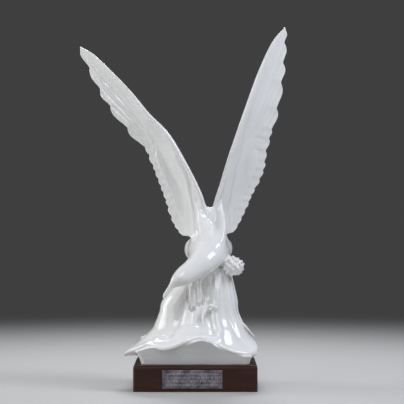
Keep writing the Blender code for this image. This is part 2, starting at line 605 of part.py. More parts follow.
def main():
    for item in list(bpy.data.objects):
        bpy.data.objects.remove(item, do_unlink=True)
    porcelain_gull(plain_material("white glazed porcelain", (0.85, 0.85, 0.84), 0.12))
    wooden_plinth(plain_material("polished dark wood", (0.055, 0.018, 0.010), 0.30))
    engraved_plate(plain_material("brushed metal plate", (0.42, 0.41, 0.42), 0.35, 1.0))
    pin_metal = plain_material("dark metal pin", (0.10, 0.09, 0.09), 0.40, 1.0)
    for name, x in zip(("plate_pin_left", "plate_pin_right"), PIN_X):
        plate_pin(name, x, pin_metal)


main()
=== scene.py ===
import math

import bmesh
import bpy
import numpy as np
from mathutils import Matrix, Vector


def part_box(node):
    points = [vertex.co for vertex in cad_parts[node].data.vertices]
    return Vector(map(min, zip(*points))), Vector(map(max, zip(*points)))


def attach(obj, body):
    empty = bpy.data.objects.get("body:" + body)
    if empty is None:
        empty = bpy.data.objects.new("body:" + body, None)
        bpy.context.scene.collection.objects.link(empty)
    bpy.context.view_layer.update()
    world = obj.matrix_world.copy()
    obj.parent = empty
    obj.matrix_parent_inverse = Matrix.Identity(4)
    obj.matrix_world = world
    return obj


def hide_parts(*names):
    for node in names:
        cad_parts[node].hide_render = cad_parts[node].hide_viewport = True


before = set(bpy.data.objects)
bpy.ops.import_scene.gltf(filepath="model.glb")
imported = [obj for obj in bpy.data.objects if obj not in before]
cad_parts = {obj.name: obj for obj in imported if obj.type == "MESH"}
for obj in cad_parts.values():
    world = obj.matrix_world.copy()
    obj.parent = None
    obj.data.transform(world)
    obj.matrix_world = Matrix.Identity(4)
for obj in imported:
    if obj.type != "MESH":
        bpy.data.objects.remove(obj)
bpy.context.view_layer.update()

# Glazed porcelain gull alighting on a wave, on a polished wooden plinth with a metal plate.
# Metres, +Z up; the viewer who sees the plate stands at -Y.

viewer = {
    "place": (0.0089, -2.2, 0.2526),
    "lens": 143.1,          # mm, on a 36 mm sensor
    "sensor": 36.0,
    "picture": 404,         # pixels a side
}

figure = {
    "node": "porcelain_gull_on_wave",
    "height": 0.460,        # m, foot to the higher wing tip
    "cell": 0.80,           # mm, cell of the mesh that joins the modelled forms
    "wingsFrom": 52,        # percent, the wings above it keep their sharp forms
    "softening": 5,         # passes over the joined mesh
    "polish": 2,            # passes over the worked and thinned surface
    "triangles": 194000,    # left after the flat areas are thinned
}
onePercent = figure["height"] / 100    # the modelling works in percent of the height
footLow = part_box(figure["node"])[0]


# Shared helpers
def hexToLinear(code):
    values = [int(code[k:k + 2], 16) / 255 for k in (1, 3, 5)]
    return [v / 12.92 if v <= 0.04045 else ((v + 0.055) / 1.055) ** 2.4 for v in values] + [1.0]


def smoothStep(value, low, high):
    x = np.clip((value - low) / (high - low), 0.0, 1.0)
    return x * x * (3.0 - 2.0 * x)


def alongCurve(points, steps):
    # smooth curve through the points, read at shares 0 to 1; the columns can be anything
    knots = np.array(points, dtype=float)
    padded = np.vstack([2 * knots[0] - knots[1], knots, 2 * knots[-1] - knots[-2]])
    at = np.clip(steps, 0.0, 1.0) * (len(knots) - 1)
    piece = np.minimum(at.astype(int), len(knots) - 2)
    u = (at - piece)[:, None]
    a, b, c, d = (padded[piece + k] for k in range(4))
    return 0.5 * (2 * b + (c - a) * u + (2 * a - 5 * b + 4 * c - d) * u ** 2
                  + (3 * b - a - 3 * c + d) * u ** 3)


def fullTurn(around):
    return np.linspace(0, 2 * math.pi, around, endpoint=False)


def addItem(name, data):
    item = bpy.data.objects.new(name, data)
    bpy.context.scene.collection.objects.link(item)
    return item


def meshPiece(name, points, faces):
    mesh = bpy.data.meshes.new(name)
    mesh.from_pydata(np.asarray(points).tolist(), [], faces)
    return addItem(name, mesh)


def addModifier(piece, name, kind, settings):
    made = piece.modifiers.new(name, kind)
    for key, value in settings.items():
        setattr(made, key, value)


def settle(piece):
    # works the modifiers into the mesh
    view = bpy.context.evaluated_depsgraph_get()
    made = bpy.data.meshes.new_from_object(piece.evaluated_get(view))
    piece.modifiers.clear()
    before, piece.data = piece.data, made
    bpy.data.meshes.remove(before)


def readTable(items, what, columns, kind=float):
    values = np.zeros(len(items) * columns, dtype=kind)
    items.foreach_get(what, values)
    return values.reshape(-1, columns)


def vertexPlaces(piece):
    return readTable(piece.data.vertices, "co", 3)


def vertexNormals(piece):
    return readTable(piece.data.vertex_normals, "vector", 3, np.float32).astype(float)


def setPlaces(piece, places):
    piece.data.vertices.foreach_set("co", places.ravel())
    piece.data.update()


# Clay forms, in percent
clay = {"points": [], "faces": [], "count": 0}


def addForm(points, faces):
    clay["points"].append(np.asarray(points, float))
    clay["faces"] += [[clay["count"] + k for k in face] for face in faces]
    clay["count"] += len(points)


def addSkin(rings):
    # skins closed rings of equal length and closes both ends
    rings = np.array(rings, dtype=float)
    rows, around = rings.shape[:2]
    index = np.arange(rows * around).reshape(rows, around)
    ahead = np.roll(index, -1, axis=1)
    faces = np.stack([index[:-1], ahead[:-1], ahead[1:], index[1:]], axis=-1).reshape(-1, 4).tolist()
    first, last = rows * around, rows * around + 1
    faces += [[int(b), int(a), first] for a, b in zip(index[0], ahead[0])]
    faces += [[int(a), int(b), last] for a, b in zip(index[-1], ahead[-1])]
    ends = rings[[0, -1]].mean(axis=1)
    addForm(np.vstack([rings.reshape(-1, 3), ends]), faces)


leftWing = {
    "leading": [(3.6, 0.5, 35.0), (3.4, -0.9, 44.3), (0.8, -1.7, 51.8), (-4.8, -2.2, 62.5),
                (-8.5, -1.8, 68.2), (-13.8, -0.9, 73.6), (-19.1, 0.9, 80.1), (-25.0, 3.0, 86.3),
                (-30.7, 5.7, 91.7), (-35.0, 7.4, 94.4)],
    "trailing": [(-4.0, 6.5, 37.2), (-6.5, 6.5, 41.0), (-8.9, 5.7, 48.2), (-12.5, 4.3, 57.9),
                 (-14.9, 4.1, 63.4), (-19.8, 3.9, 68.8), (-25.5, 4.6, 76.0), (-29.0, 5.7, 81.9),
                 (-32.6, 7.0, 89.1), (-35.0, 7.4, 94.4)],
    # heights where one feather's end meets the next, from the root to the tip
    "notches": [37.2, 38.6, 40.3, 42.6, 45.7, 47.8, 49.9, 51.9, 54.0, 56.3, 58.1, 61.2, 63.5,
                69.4, 76.0, 81.2, 87.6, 94.4],
    "longFrom": 0.45,       # share of the span where the long feathers start
}
rightWing = {
    "leading": [(4.4, 0.5, 35.0), (5.0, 0.0, 44.3), (7.4, -0.4, 52.4), (9.4, -0.3, 59.4),
                (11.6, 0.0, 66.0), (15.1, 1.3, 76.2), (18.9, 3.9, 86.6), (23.1, 6.5, 95.5),
                (27.1, 8.3, 100.3)],
    "trailing": [(11.3, 7.8, 38.1), (13.6, 8.3, 42.2), (16.7, 8.3, 49.1), (20.3, 8.0, 56.8),
                 (21.2, 7.4, 63.0), (23.9, 7.0, 73.0), (25.8, 7.4, 83.6), (26.7, 8.3, 93.4),
                 (27.1, 8.3, 100.3)],
    "notches": [38.1, 40.2, 42.5, 44.8, 47.3, 49.2, 51.3, 54.2, 56.8, 59.3, 62.6, 66.4, 69.1,
                75.4, 83.2, 89.3, 95.4, 100.3],
    "longFrom": 0.53,
}
wingBuild = {
    "armThickness": 2.3, "bladeThickness": 0.95, "camber": 0.10,
    "featherRelief": 0.20,  # height of a short feather's edge over the next one
    "endRise": 0.19,        # how far a feather's end stands out, as a share of its width
    "stepsAlong": 320, "stepsAcross": 90,
}


def addWing(wing):
    steps, across = wingBuild["stepsAlong"], wingBuild["stepsAcross"]
    span = np.linspace(0, 1, steps)
    leading, trailing = alongCurve(wing["leading"], span), alongCurve(wing["trailing"], span)
    width = np.linalg.norm(trailing - leading, axis=1)
    outward = (trailing - leading) / np.maximum(width, 1e-6)[:, None]
    outward[-1] = outward[-2]

    # rounded feather ends along the trailing edge
    notches = np.array(wing["notches"])
    number = np.interp(trailing[:, 2], notches, np.arange(len(notches)))
    gap = np.diff(notches)[np.minimum(number.astype(int), len(notches) - 2)]
    size = np.minimum(wingBuild["endRise"] * gap, 1.05) * smoothStep(1 - span, 0.0, 0.04)
    bulge = np.sin(math.pi * (number % 1.0) ** 1.8) ** 0.8
    trailing = trailing + outward * (size * bulge)[:, None]

    along = np.gradient((leading + trailing) / 2, axis=0)
    front = np.cross(along, outward)
    front /= np.linalg.norm(front, axis=1)[:, None]
    front *= -np.sign(front[:, 1:2])

    chord = (1 - np.cos(np.linspace(0, math.pi, across))) / 2
    s, t = np.meshgrid(span, chord, indexing="ij")
    flat = leading[:, None] + (trailing - leading)[:, None] * t[..., None]

    # short feathers overlap like shingles and lean to the tip
    tilted = np.minimum(s + 0.045 * (1 - t), 1)
    place = np.interp(tilted, span, number) % 1.0
    shaft = np.exp(-((place - 0.45) / 0.09) ** 2)
    rib = np.sin(math.pi * place) ** 0.6 * 0.55 + place * 0.45 + 0.25 * shaft
    shortOnes = 1 - smoothStep(s, wing["longFrom"] - 0.03, wing["longFrom"] + 0.05)
    coverts = 0.80 - 0.45 * smoothStep(s, wing["longFrom"] - 0.12, wing["longFrom"] + 0.12)
    beyond = smoothStep(t, coverts - 0.03, coverts + 0.03)
    relief = wingBuild["featherRelief"] * beyond * (rib - 0.5) * shortOnes
    relief = relief + 0.28 * (1 - smoothStep(t, coverts - 0.03, coverts + 0.02)) * smoothStep(1 - s, 0.3, 0.6)
    arm = 0.42 - 0.22 * smoothStep(s, 0.0, 0.45)
    hollowArm = np.exp(-((t - arm * 0.45) / (arm * 0.28)) ** 2) * smoothStep(1 - s, 0.6, 0.85)
    relief = relief - 0.6 * hollowArm * smoothStep(1 - s, 0.35, 0.65)

    thin, thick = wingBuild["bladeThickness"], wingBuild["armThickness"]
    depth = thin + (thick * (1 - 0.65 * s) - thin) * (1 - smoothStep(t, arm * 0.6, arm * 1.3))
    depth = depth * (1 - 0.25 * smoothStep(s, 0.7, 1.0))
    rounding = np.sqrt(np.clip(1 - (1 - np.minimum(t / 0.10, 1)) ** 2, 0, 1))
    rounding = rounding * np.sqrt(np.clip(1 - (np.maximum(t - 0.97, 0) / 0.03) ** 2, 0, 1))
    hollow = wingBuild["camber"] * width[:, None] * 4 * t * (1 - t) * smoothStep(1 - s, 0.0, 0.3)

    # the upper side has a second row of coverts
    row = np.interp(np.minimum(s + 0.08 * (1 - t), 1), span, number)
    scale = np.sin(math.pi * (row % 1.0)) ** 0.7
    middleRow = smoothStep(t, 0.30, 0.34) * (1 - smoothStep(t, 0.56, 0.62)) * shortOnes
    upperRelief = wingBuild["featherRelief"] * ((rib - 0.5) * smoothStep(t, 0.60, 0.66) * shortOnes
                                                + (scale - 0.1) * middleRow)

    normal = front[:, None]
    middle = flat - normal * hollow[..., None]
    half = depth / 2 * rounding
    under = middle + normal * (half + relief * rounding)[..., None]
    upper = middle - normal * (half + upperRelief * rounding)[..., None]
    addSkin([np.vstack([under[k], upper[k][::-1]]) for k in range(steps)])


# spine of the bird: centre x, y, z, half width, half height
bodySpine = [
    (3.9, 15.0, 33.6, 3.4, 2.0), (3.9, 9.5, 33.4, 5.6, 3.9), (3.9, 3.5, 33.1, 6.3, 5.1),
    (3.8, -2.5, 32.6, 6.2, 5.1), (3.1, -6.9, 31.2, 5.4, 4.4), (1.6, -10.0, 29.4, 4.4, 3.9),
    (-0.6, -12.7, 27.7, 3.3, 3.2), (-3.4, -15.0, 25.8, 2.8, 2.75), (-5.3, -16.2, 24.5, 2.1, 1.95),
    (-6.4, -16.8, 23.5, 1.2, 1.15), (-7.1, -17.1, 22.7, 0.78, 0.8), (-8.0, -17.3, 21.5, 0.62, 0.68),
    (-8.8, -17.5, 20.3, 0.46, 0.56), (-9.15, -17.4, 19.5, 0.15, 0.2),
]
# breast and the ridge between the wings, from below: x, y, z, half width, half depth
breastColumn = [
    (3.9, 0.4, 32.5, 6.3, 4.8), (4.3, 0.4, 36.0, 5.6, 3.9), (4.6, 0.6, 38.6, 4.2, 2.6),
    (4.6, 0.6, 41.0, 2.9, 1.9), (4.4, 0.5, 43.2, 1.9, 1.6), (4.15, 0.4, 44.7, 1.2, 1.3),
    (4.05, 0.3, 45.6, 0.75, 0.9), (4.05, 0.3, 46.0, 0.2, 0.3),
]
# slope from the ridge between the wings to the neck: x, y, z, half width, half depth
saddle = [(4.6, 0.5, 43.0, 1.2, 0.9), (4.7, 0.2, 41.0, 2.4, 1.4), (4.8, -0.7, 38.6, 3.4, 2.1),
          (4.6, -2.6, 36.2, 4.5, 2.9), (3.9, -4.7, 34.0, 5.3, 3.6), (3.1, -6.8, 31.9, 5.0, 4.0),
          (2.2, -8.6, 30.2, 3.4, 3.0)]
# arms of the wings run down over the breast: x, y, z, half width, half depth
arms = [[(0.9, 0.5, 48.5, 0.4, 0.4), (1.3, 0.1, 45.2, 1.0, 1.0), (1.55, -0.9, 43.2, 1.4, 1.4),
         (1.9, -2.2, 41.0, 1.7, 1.8), (2.5, -3.9, 38.4, 1.9, 1.9), (2.9, -5.9, 35.6, 2.1, 2.1),
         (2.8, -7.8, 33.2, 1.6, 1.8)],
        [(7.4, 1.5, 48.5, 0.4, 0.4), (7.4, 1.0, 45.2, 0.9, 1.0), (7.7, 0.0, 43.0, 1.3, 1.3),
         (7.9, -1.5, 40.8, 1.5, 1.6), (7.8, -3.4, 38.2, 1.7, 1.8), (7.1, -5.2, 35.6, 1.9, 2.0),
         (6.0, -7.0, 33.2, 1.6, 1.8)]]
tailFan = {"root": (3.9, 5.0, 34.6), "tip": (3.9, 23.0, 33.4), "rootHalf": 5.4, "tipHalf": 6.9,
           "droop": 2.2, "thickness": 1.5, "feathers": 9, "relief": 0.20}
# rounded flanks under the wings: x, y, z, half width, half height
flanks = [[(0.6, -3.0, 32.6, 0.9, 1.4), (-0.4, 0.5, 32.8, 2.1, 2.8), (-0.9, 5.0, 33.0, 2.5, 3.3),
           (-0.4, 10.0, 33.2, 2.1, 2.7), (0.6, 14.0, 33.4, 0.9, 1.1)],
          [(7.4, -3.0, 33.0, 0.9, 1.4), (8.3, 0.5, 33.2, 2.1, 2.8), (8.75, 5.0, 33.3, 2.4, 3.2),
           (8.2, 10.0, 33.4, 2.1, 2.7), (7.2, 14.0, 33.5, 0.9, 1.1)]]


def addTube(rows, around=18, steps=40, lying=False):
    # rows: x, y, z, half width, half depth; a lying form keeps its width level
    table = alongCurve(rows, np.linspace(0, 1, steps))
    along = np.gradient(table[:, :3], axis=0)
    turn = fullTurn(around)
    least = 0.05 if lying else 0.02
    rings = []
    for row, direction in zip(table, along):
        ahead = Vector(direction).normalized()
        if lying:
            side = ahead.cross(Vector((0, 0, 1))).normalized()
            over = side.cross(ahead)
        else:
            side = (Vector((1, 0, 0)) - ahead * ahead.x).normalized()
            over = ahead.cross(side)
        wide, deep = max(row[3], least), max(row[4], least)
        rings.append(row[:3] + np.outer(wide * np.cos(turn), side) + np.outer(deep * np.sin(turn), over))
    addSkin(rings)


def addBreast(around=96, steps=60):
    turn = fullTurn(around)
    addSkin([np.column_stack([x + wide * np.cos(turn), y + deep * np.sin(turn), 0 * turn + z])
             for x, y, z, wide, deep in alongCurve(breastColumn, np.linspace(0, 1, steps))])


def addTail(steps=90, across=181):
    root, tip = np.array(tailFan["root"]), np.array(tailFan["tip"])
    w = np.linspace(-1, 1, across)
    feather = (w + 1) / 2 * tailFan["feathers"]
    rib = np.abs(np.sin(math.pi * feather)) ** 0.8
    shaft = np.exp(-(((feather % 1.0) - 0.5) / 0.08) ** 2)
    bend = w * math.pi / 2
    arch = np.column_stack([np.sin(bend), 0 * w, np.cos(bend) - 1])
    out = np.column_stack([np.sin(bend), 0 * w, np.cos(bend)])
    rings = []
    for u in np.linspace(0, 1, steps):
        half = tailFan["rootHalf"] + (tailFan["tipHalf"] - tailFan["rootHalf"]) * math.sin(u * math.pi / 2)
        reach = 1 - 0.16 * w * w - 0.07 * (1 - rib) * u
        edge = np.sqrt(np.maximum(1 - np.abs(w) ** 6, 0)) * (1 - 0.5 * u ** 4)
        lift = tailFan["thickness"] / 2 * edge
        lift = lift + tailFan["relief"] * (rib + 0.35 * shaft * min(3 * u, 1)) * edge * min(3 * u, 1)
        line = root + np.outer(u * reach, tip - root) + arch * (half, 0, tailFan["droop"])
        rings.append(np.vstack([line + out * lift[:, None], (line - out * lift[:, None])[::-1]]))
    addSkin(rings)


# wave from under the bird down to its rim: height, centre x, centre y, half width, half depth
waveRows = [
    (29.5, 5.2, 1.0, 3.6, 5.5), (27.0, 5.0, 0.6, 5.3, 7.0), (22.6, 2.8, 0.2, 8.4, 8.6),
    (18.1, 1.4, 0.0, 10.8, 9.4), (14.8, 1.1, 0.0, 11.4, 10.2), (11.6, 1.2, 0.0, 12.7, 11.4),
    (8.9, 1.0, 0.0, 14.3, 13.2),
]
waveRim = {"height": 4.45, "centre": (-1.1, 0.0), "halfWidth": 19.5, "halfDepth": 15.4, "lip": 1.05,
           "roll": (82, 22, 2.1)}   # right end rolled up thick: angle, width, height
# swells of the rim: angle in degrees, 0 at the viewer; width; rise
swells = [(7, 21, 3.8), (-39, 11, 1.5), (60, 34, -1.5), (-86, 22, -2.1), (132, 18, 1.0),
          (158, 22, 1.2), (190, 24, -1.2), (217, 16, 1.0)]
# falling water: angle at the top, angle at the bottom, width, relief
streams = [(-62, -66, 20, 0.9), (-20, -34, 8, -1.1), (8, 2, 13, -1.6), (18, 17, 4, -0.9),
           (25, 24, 5, 0.9), (40, 52, 5, -0.6), (66, 62, 16, 0.3), (112, 108, 7, -1.0),
           (128, 134, 14, 0.9), (156, 158, 7, -1.1), (185, 182, 14, 0.9), (212, 208, 7, -1.1),
           (240, 236, 13, 0.8), (266, 262, 7, -0.9)]
# finer streams on the sides and back
rills = [(84, 80, 3.0, 0.35), (98, 95, 2.6, 0.32), (123, 124, 2.4, -0.3), (141, 147, 2.8, 0.35),
         (167, 170, 2.6, 0.32), (178, 176, 2.2, -0.28), (198, 193, 2.8, 0.35), (224, 221, 2.6, 0.32),
         (233, 230, 2.2, -0.3), (252, 249, 2.8, 0.35), (276, 272, 2.6, 0.3)]
# rectangular foot: metres; its walls lean out, and flare more under the rim
foot = {"length": 0.145, "depth": 0.108, "chamfer": 0.005, "lean": 0.15, "flare": 0.08}


def atAngle(angles, centre, width):
    apart = (angles - centre + 180) % 360 - 180
    return np.exp(-(apart / width) ** 2)


def footReach(right, ahead, high):
    # from the middle to the wall of the rectangular foot
    spread = foot["lean"] * high + foot["flare"] * np.maximum(high, 0) ** 2
    long = foot["length"] / 2 / onePercent + spread
    deep = foot["depth"] / 2 / onePercent + spread
    corner = long + deep - foot["chamfer"] / onePercent
    right, ahead = np.abs(right), np.abs(ahead)
    return 1 / np.maximum.reduce([right / long, ahead / deep, (right + ahead) / corner])


def addWave(around=720, steps=190):
    angles = np.linspace(0, 360, around, endpoint=False)
    right, ahead = np.sin(np.radians(angles)), -np.cos(np.radians(angles))
    square = (np.abs(right) ** 3 + np.abs(ahead) ** 3) ** (-1 / 3)
    rise = sum(up * atAngle(angles, a, w) for a, w, up in swells)
    lobes = 1 + 0.035 * np.cos(np.radians(5 * angles + 40))
    spread = [(*row, 0.0) for row in waveRows]
    spread.append((waveRim["height"] + 0.4, *waveRim["centre"], waveRim["halfWidth"] * 0.97,
                   waveRim["halfDepth"] * 0.97, 1.0))
    top = waveRows[0][0]
    rollAt, rollWidth, rollHeight = waveRim["roll"]
    roll = rollHeight * atAngle(angles, rollAt, rollWidth)
    rings = []
    for high, cx, cy, halfX, halfY, out in alongCurve(spread, np.linspace(0, 1, steps)):
        fall = np.clip((top - high) / (top - waveRim["height"]), 0, 1)
        folds = sum(size * atAngle(angles, a + (b - a) * fall, width * (1.25 - 0.45 * fall))
                    for a, b, width, size in streams + rills)
        strength = smoothStep(fall, 0.04, 0.3) * (1 - 0.75 * smoothStep(fall, 0.72, 1.0))
        shape = 1 + (square * lobes - 1) * max(out, 0) ** 1.5
        rings.append(np.column_stack([cx + right * (halfX * shape + folds * strength),
                                      cy + ahead * (halfY * shape + folds * strength),
                                      high + (rise + roll) * max(out, 0) ** 1.3]))
    edgeX, edgeY = waveRim["halfWidth"] * square * lobes, waveRim["halfDepth"] * square * lobes
    under = waveRim["height"] + rise
    for out, down in ((0.985, -0.08), (0.996, 0.15), (1.0, 0.5), (0.996, 0.8), (0.98, 1.0),
                      (0.96, 1.02), (0.94, 0.95)):
        inward = 1 - (1 - out) * (1 + 0.8 * roll)
        rings.append(np.column_stack([waveRim["centre"][0] + right * edgeX * inward,
                                      waveRim["centre"][1] + ahead * edgeY * inward,
                                      under + roll * (1 - down) - waveRim["lip"] * (down - 0.2)]))
    for share in np.linspace(1, 0, 9):
        high = (under - 0.6 * waveRim["lip"] + 0.6) * share - 0.6
        reach = footReach(right, ahead, high)
        rings.append(np.column_stack([right * reach, ahead * reach, high]))
    addSkin(rings)


def ballRing(polar, around):
    turn = fullTurn(around)
    return np.column_stack([np.cos(turn) * math.sin(polar), np.sin(turn) * math.sin(polar),
                            0 * turn + math.cos(polar)])


def addBead(centre, radius, stretch=(0, 0, 0), rows=9, around=14):
    # a ball, or a finger where stretch carries its far end away
    rings = np.array([ballRing(math.pi * k / rows, around) * radius + centre for k in range(1, rows)])
    if any(stretch):
        axis = Vector(stretch).normalized()
        turned = np.array(Vector((0, 0, 1)).rotation_difference(axis).to_matrix())
        rings = (rings - centre) @ turned.T
        share = np.linspace(1, 0, rows - 1)[:, None, None]
        rings = rings + np.array(stretch) * share + centre
    addSkin(rings)


# foam: middle of the heap, its size, bead radius, number of beads
foamHeaps = [((10.9, -4.6, 28.3), (2.9, 2.5, 2.5), 0.62, 52),
             ((2.9, -8.6, 27.0), (2.5, 0.9, 0.7), 0.38, 14),
             ((5.0, -10.0, 16.4), (1.3, 0.7, 0.6), 0.42, 9)]
# curl of foam that runs down from the lowest heap: x, y, z, half width, half depth
foamCurl = [(2.4, -10.2, 13.8, 0.15, 0.15), (3.3, -10.3, 15.8, 0.32, 0.32), (4.2, -10.4, 17.1, 0.42, 0.40),
            (5.3, -10.3, 16.9, 0.40, 0.40), (6.3, -10.1, 15.4, 0.28, 0.28)]


def addFoam(centre, size, radius, count):
    centre, size = np.array(centre), np.array(size)
    golden = math.pi * (3 - math.sqrt(5))
    for k in range(count):
        high = 1 - 2 * (k + 0.5) / count
        flat = math.sqrt(1 - high * high)
        out = np.array([flat * math.cos(golden * k), flat * math.sin(golden * k), high])
        grown = radius * (0.75 + 0.5 * ((k * 7) % 5) / 4)
        finger = out * radius * (0.5 + 0.7 * ((k * 3) % 4) / 3)
        addBead(centre + size * out * 0.82, grown, finger + np.array([0, 0, 0.15 * radius]))
    addSkin([centre + size * ballRing(polar, 24) for polar in np.linspace(0.15, math.pi - 0.15, 14)])


# webbed feet: hip, ankle, tip of the toes, half width of the spread toes
feet = [((0.0, -9.0, 27.5), (-0.75, -9.8, 23.3), (-1.1, -10.2, 16.2), 1.05),
        ((1.3, -8.4, 27.5), (1.15, -9.2, 23.1), (1.2, -9.0, 17.5), 0.62)]
legRadius = 0.46


def addLeg(hip, ankle, toes, spread):
    hip, ankle, toes = np.array(hip), np.array(ankle), np.array(toes)
    r = legRadius
    addTube([(*hip, 1.9 * r, 1.9 * r), (*(hip + ankle) / 2, r, r), (*ankle, 1.15 * r, 1.2 * r),
             (*(ankle * 0.8 + toes * 0.2), 1.2 * r, r)])
    web = [(*ankle, 1.2 * r, 1.0 * r), (*(ankle * 0.85 + toes * 0.15), spread * 0.9, 0.8 * r),
           (*(ankle * 0.25 + toes * 0.75), spread, 0.5 * r), (*toes, spread * 0.45, 0.3 * r)]
    addTube(web, around=30)
    for lean in (-0.85, 0.0, 0.85):         # three toes over the web, with knuckles
        end = toes + np.array([spread * lean, -0.15, 0.5 * abs(lean)])
        for share in (0.30, 0.62, 0.92):
            knuckle = ankle + (end - ankle) * share + np.array([0, -0.2, 0])
            addBead(knuckle, r * (0.78 - 0.12 * share))
        start = ankle + np.array([0, -0.1, -0.2])
        middle = (start + end) / 2 + np.array([spread * lean * 0.25, -0.25, 0])
        addTube([(*start, 0.6 * r, 0.6 * r), (*middle, 0.5 * r, 0.5 * r), (*end, 0.34 * r, 0.34 * r)])


# tongues of water on the shoulders of the rim: root, tip, half width, thickness
tongues = [((-10.5, -1.0, 7.6), (-16.3, -1.8, 6.8), 3.2, 2.2),
           ((12.6, -1.0, 12.3), (17.7, -1.2, 7.0), 2.8, 1.6),
           ((-5.0, 9.5, 8.8), (-8.0, 14.4, 7.0), 3.2, 2.0)]


def addTongue(root, tip, half, thick, around=40, steps=40):
    root, tip = np.array(root), np.array(tip)
    turn = fullTurn(around)
    rings = []
    for u in np.linspace(0, 1, steps):
        wide = half * math.sqrt(max(1 - u ** 2.2, 0.0)) + 0.15
        point = root + (tip - root) * u + np.array([0, 0, 0.35 * math.sin(math.pi * u)])
        rings.append(point + np.column_stack([0 * turn, wide * np.cos(turn),
                                              thick / 2 * (1 - 0.6 * u) * np.sin(turn)]))
    addSkin(rings)


print("modelling the clay forms")
addWave()
addTube(bodySpine, 96, 160, lying=True)
for one in flanks:
    addTube(one, 48, 60, lying=True)
addBreast()
addTube(saddle, 72, 80, lying=True)
for one in arms:
    addTube(one, 40, 60, lying=True)
addTail()
addWing(leftWing)
addWing(rightWing)
for one in feet:
    addLeg(*one)
for one in foamHeaps:
    addFoam(*one)
addTube(foamCurl)
for one in tongues:
    addTongue(*one)

clayPoints = np.vstack(clay["points"]) * onePercent + (0, 0, footLow.z)
gull = meshPiece("gull_on_wave", clayPoints, clay["faces"])
bm = bmesh.new()
bm.from_mesh(gull.data)
bmesh.ops.recalc_face_normals(bm, faces=bm.faces)
bm.to_mesh(gull.data)
bm.free()

print("joining the forms")
forms = bpy.data.objects.new("separate_forms", gull.data.copy())      # never in the scene itself
addModifier(gull, "join", "REMESH", {"mode": "VOXEL", "voxel_size": figure["cell"] / 1000})
settle(gull)
free = vertexPlaces(gull)[:, 2] > figure["wingsFrom"] * onePercent
gull.vertex_groups.new(name="wings").add(np.nonzero(free)[0].tolist(), 1.0, "REPLACE")
addModifier(gull, "sharp wings", "SHRINKWRAP", {"target": forms, "vertex_group": "wings"})
addModifier(gull, "soften", "SMOOTH", {"factor": 0.5, "iterations": figure["softening"]})
settle(gull)
bpy.data.objects.remove(forms)
print("joined mesh has", len(gull.data.polygons), "faces")


def edgeEnds(piece):
    return readTable(piece.data.edges, "vertices", 2, np.int32).T


def neighbourMean(values, a, b):
    count = np.bincount(a, minlength=len(values)) + np.bincount(b, minlength=len(values))
    total = np.column_stack([np.bincount(a, column[b], len(values)) + np.bincount(b, column[a], len(values))
                             for column in values.T])
    return total / np.maximum(count, 1)[:, None]


# places where the clay is smeared over the joints: middle, reach each way (percent), passes
smears = [((3.8, -4.5, 36.5), (8.0, 9.5, 9.5), 130), ((4.3, -0.8, 43.5), (6.0, 5.0, 6.5), 70),
          ((-0.8, 2.0, 33.5), (4.5, 9.0, 6.0), 60), ((8.6, 2.0, 33.9), (4.5, 9.0, 6.0), 60),
          ((-5.6, -16.2, 24.2), (2.4, 2.4, 2.4), 20)]


def smear(piece, middle, reach, passes):
    places = vertexPlaces(piece)
    centre = np.array(middle) * onePercent + (0, 0, footLow.z)
    far = np.linalg.norm((places - centre) / (np.array(reach) * onePercent), axis=1)
    inside = far < 1.15
    a, b = edgeEnds(piece)
    both = inside[a] & inside[b]
    number = np.cumsum(inside) - 1
    a, b = number[a[both]], number[b[both]]
    part = places[inside]
    share = (1 - smoothStep(far[inside], 0.55, 1.0))[:, None]
    for _ in range(passes):
        part += 0.6 * share * (neighbourMean(part, a, b) - part)
    places[inside] = part
    setPlaces(piece, places)


for one in smears:
    smear(gull, *one)
print("smeared the joints")


